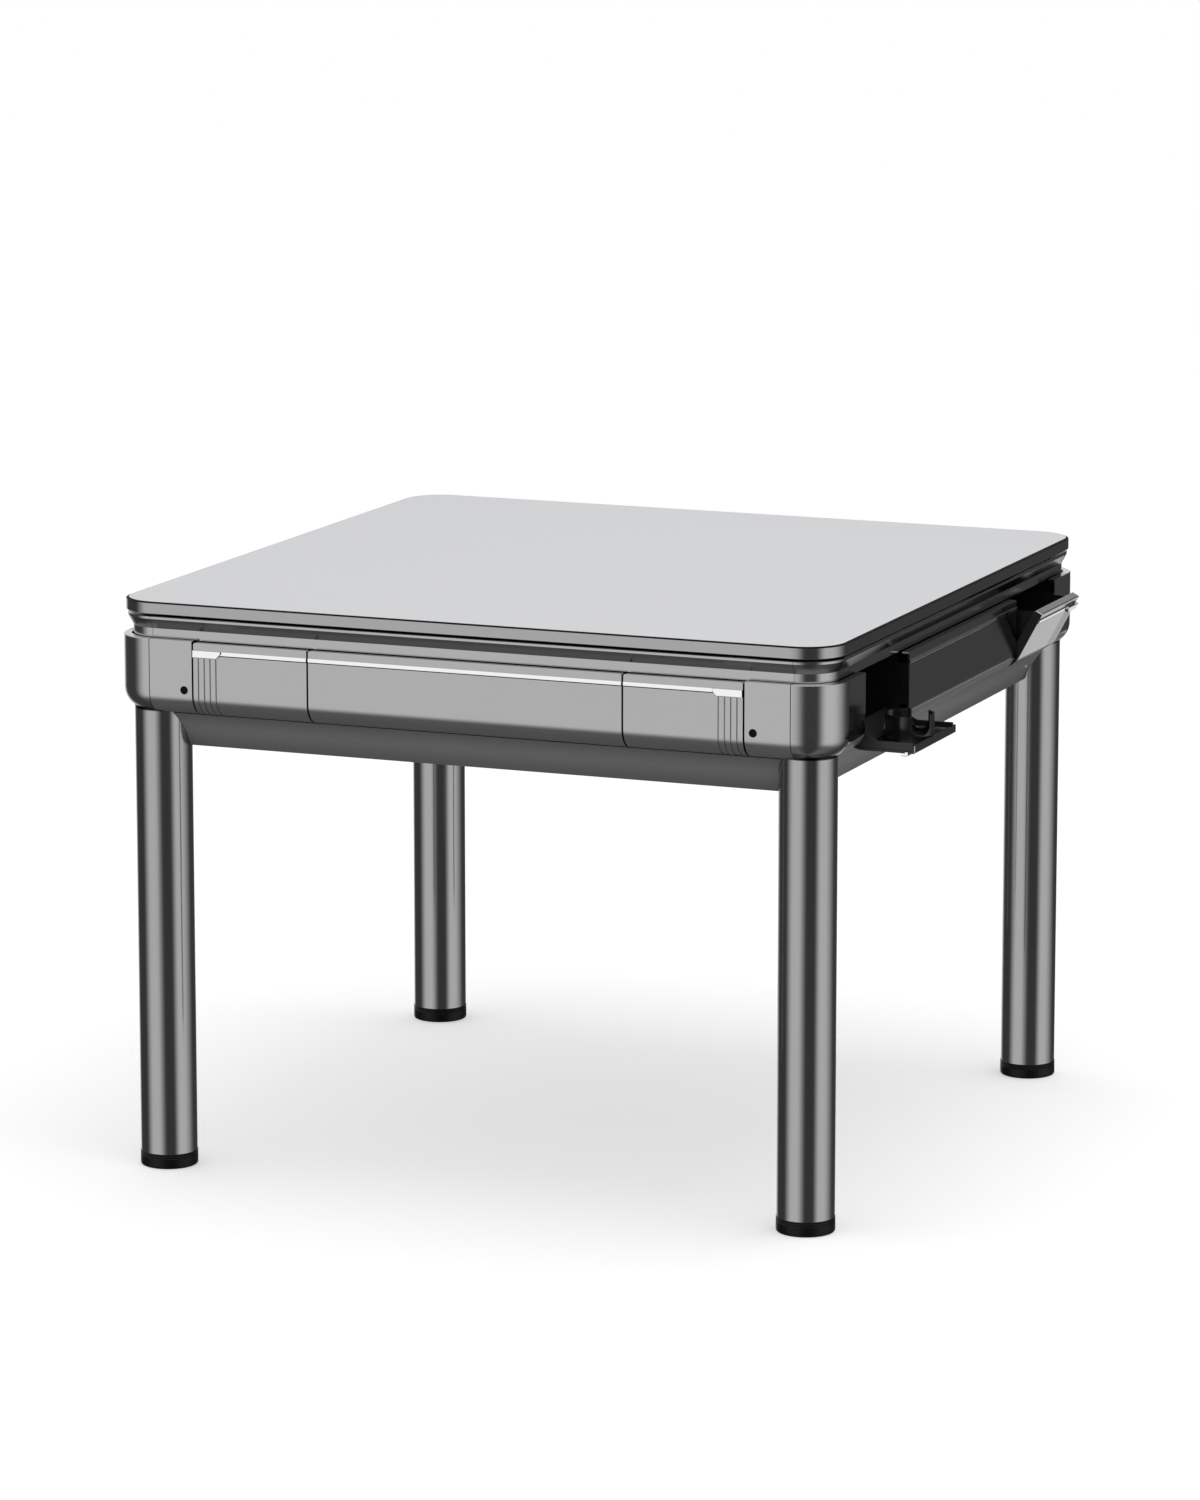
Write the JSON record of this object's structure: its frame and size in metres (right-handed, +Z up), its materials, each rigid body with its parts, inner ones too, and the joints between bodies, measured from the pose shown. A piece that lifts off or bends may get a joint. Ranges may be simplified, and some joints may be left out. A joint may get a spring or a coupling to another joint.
{
  "type": "automatic mahjong table",
  "caption": "Square powered game table on round tube legs, with a lift-off top, pull-out drawers, fold-down cup flaps and tilting trays.",
  "frame": {"origin": "on the floor, midway between the four legs", "axes": "+Z up, +X towards the side pictured with its flaps open, -Y towards the pictured front"},
  "size_m": [1.0755, 1.014, 0.765],
  "materials": {
    "top_laminate": "satin light grey laminate on board",
    "edge_band": "dark grey band",
    "rim_paint": "metallic grey",
    "casing_paint": "brushed metallic grey",
    "bright_trim": "bright strip",
    "leg_metal": "brushed dark metal tube",
    "foot_plastic": "black",
    "skirt_paint": "dark metallic grey",
    "frame_steel": "black coated steel",
    "hinge_steel": "zinc plated",
    "pan_steel": "black coated sheet",
    "black_plastic": "moulded black",
    "board_core": "fibre board",
    "play_felt": "green felt",
    "console_plastic": "gloss black",
    "dome_clear": "clear",
    "dice_white": "white",
    "button_red": "red",
    "button_green": "green",
    "lift_felt": "green felt faced plate",
    "guide_plastic": "natural nylon",
    "tub_plastic": "off-white moulding",
    "disc_rubber": "rubber faced disc",
    "roller_rubber": "black rubber",
    "motor_metal": "cast housing",
    "control_plastic": "black box"
  },
  "bodies": {
    "root": {"rim_rails": "rim_paint", "rim_corners": "rim_paint", "play_board": "board_core", "play_cloth": "play_felt", "end_panels": "casing_paint", "corner_casings": "casing_paint", "skirts": "skirt_paint", "foot_caps": "foot_plastic", "frame_beams": "frame_steel", "corner_brackets": "frame_steel", "base_pan": "pan_steel", "flap_hinges": "hinge_steel", "lift_guides": "guide_plastic", "shuffle_tub": "tub_plastic", "drive_motor": "motor_metal", "control_box": "control_plastic", "leg_front_right": "leg_metal", "leg_back_right": "leg_metal", "leg_back_left": "leg_metal", "leg_front_left": "leg_metal"},
    "cover": {"cover_panel": "top_laminate", "cover_edge": "edge_band"},
    "console": {"console_base": "console_plastic", "dice_dome": "dome_clear", "dice": "dice_white"},
    "button_roll": {"button_roll": "button_red"},
    "button_shuffle": {"button_shuffle": "button_green"},
    "wall_lift_front": {"wall_lift_front": "lift_felt"},
    "wall_lift_right": {"wall_lift_right": "lift_felt"},
    "wall_lift_back": {"wall_lift_back": "lift_felt"},
    "wall_lift_left": {"wall_lift_left": "lift_felt"},
    "shuffler": {"shuffle_disc": "disc_rubber"},
    "roller": {"drive_roller": "roller_rubber"},
    "drawer_front": {"drawer_front_front": "casing_paint", "drawer_box_front": "black_plastic"},
    "cup_front": {"cup_flap_front": "casing_paint", "cup_cradle_front": "black_plastic"},
    "tray_front": {"tray_flap_front": "casing_paint", "tray_bin_front": "black_plastic"},
    "drawer_right": {"drawer_front_right": "casing_paint", "drawer_box_right": "black_plastic"},
    "cup_right": {"cup_flap_right": "casing_paint", "cup_cradle_right": "black_plastic"},
    "tray_right": {"tray_flap_right": "casing_paint", "tray_bin_right": "black_plastic"},
    "drawer_back": {"drawer_front_back": "casing_paint", "drawer_box_back": "black_plastic"},
    "cup_back": {"cup_flap_back": "casing_paint", "cup_cradle_back": "black_plastic"},
    "tray_back": {"tray_flap_back": "casing_paint", "tray_bin_back": "black_plastic"},
    "drawer_left": {"drawer_front_left": "casing_paint", "drawer_box_left": "black_plastic"},
    "cup_left": {"cup_flap_left": "casing_paint", "cup_cradle_left": "black_plastic"},
    "tray_left": {"tray_flap_left": "casing_paint", "tray_bin_left": "black_plastic"}
  },
  "joints": [
    {"name": "cover_lift", "type": "slide", "parent": "root", "child": "cover", "axis": [0, 0, 1], "range_m": [0, 0.3]},
    {"name": "console_lift", "type": "slide", "parent": "root", "child": "console", "axis": [0, 0, 1], "range_m": [0, 0.06]},
    {"name": "button_roll_press", "type": "slide", "parent": "console", "child": "button_roll", "axis": [0, 0, -1], "range_m": [0, 0.0015], "stiffness_N_per_m": 400, "springref_m": -0.0005},
    {"name": "button_shuffle_press", "type": "slide", "parent": "console", "child": "button_shuffle", "axis": [0, 0, -1], "range_m": [0, 0.0015], "stiffness_N_per_m": 400, "springref_m": -0.0005},
    {"name": "wall_lift_front_drop", "type": "slide", "parent": "root", "child": "wall_lift_front", "axis": [0, 0, -1], "range_m": [0, 0.042]},
    {"name": "wall_lift_right_drop", "type": "slide", "parent": "root", "child": "wall_lift_right", "axis": [0, 0, -1], "range_m": [0, 0.042]},
    {"name": "wall_lift_back_drop", "type": "slide", "parent": "root", "child": "wall_lift_back", "axis": [0, 0, -1], "range_m": [0, 0.042]},
    {"name": "wall_lift_left_drop", "type": "slide", "parent": "root", "child": "wall_lift_left", "axis": [0, 0, -1], "range_m": [0, 0.042]},
    {"name": "shuffle_spin", "type": "hinge", "parent": "root", "child": "shuffler", "pos_m": [0, 0, 0.64], "axis": [0, 0, 1], "continuous": true},
    {"name": "roller_spin", "type": "hinge", "parent": "root", "child": "roller", "pos_m": [0.0753, 0, 0.626], "axis": [0, 0, 1], "continuous": true},
    {"name": "drawer_front_slide", "type": "slide", "parent": "root", "child": "drawer_front", "axis": [0, -1, 0], "range_m": [0, 0.11]},
    {"name": "cup_front_fold", "type": "hinge", "parent": "root", "child": "cup_front", "pos_m": [0, -0.486, 0.633], "axis": [1, 0, 0], "range_deg": [0, 90]},
    {"name": "tray_front_tilt", "type": "hinge", "parent": "root", "child": "tray_front", "pos_m": [0, -0.486, 0.633], "axis": [1, 0, 0], "range_deg": [0, 28]},
    {"name": "drawer_right_slide", "type": "slide", "parent": "root", "child": "drawer_right", "axis": [1, 0, 0], "range_m": [0, 0.11]},
    {"name": "cup_right_fold", "type": "hinge", "parent": "root", "child": "cup_right", "pos_m": [0.486, 0, 0.633], "axis": [0, 1, 0], "range_deg": [-90, 0]},
    {"name": "tray_right_tilt", "type": "hinge", "parent": "root", "child": "tray_right", "pos_m": [0.486, 0, 0.633], "axis": [0, 1, 0], "range_deg": [-28, 0]},
    {"name": "drawer_back_slide", "type": "slide", "parent": "root", "child": "drawer_back", "axis": [0, 1, 0], "range_m": [0, 0.11]},
    {"name": "cup_back_fold", "type": "hinge", "parent": "root", "child": "cup_back", "pos_m": [0, 0.486, 0.633], "axis": [-1, 0, 0], "range_deg": [0, 90]},
    {"name": "tray_back_tilt", "type": "hinge", "parent": "root", "child": "tray_back", "pos_m": [0, 0.486, 0.633], "axis": [-1, 0, 0], "range_deg": [0, 28]},
    {"name": "drawer_left_slide", "type": "slide", "parent": "root", "child": "drawer_left", "axis": [-1, 0, 0], "range_m": [0, 0.11]},
    {"name": "cup_left_fold", "type": "hinge", "parent": "root", "child": "cup_left", "pos_m": [-0.486, 0, 0.633], "axis": [0, -1, 0], "range_deg": [0, 90]},
    {"name": "tray_left_tilt", "type": "hinge", "parent": "root", "child": "tray_left", "pos_m": [-0.486, 0, 0.633], "axis": [0, -1, 0], "range_deg": [0, 28]}
  ],
  "couplings": [
    {"joint": "console_lift", "follows": "cover_lift", "ratio": 0.2},
    {"joint": "wall_lift_right_drop", "follows": "wall_lift_front_drop", "ratio": 1},
    {"joint": "wall_lift_back_drop", "follows": "wall_lift_front_drop", "ratio": 1},
    {"joint": "wall_lift_left_drop", "follows": "wall_lift_front_drop", "ratio": 1},
    {"joint": "roller_spin", "follows": "shuffle_spin", "ratio": -4}
  ]
}
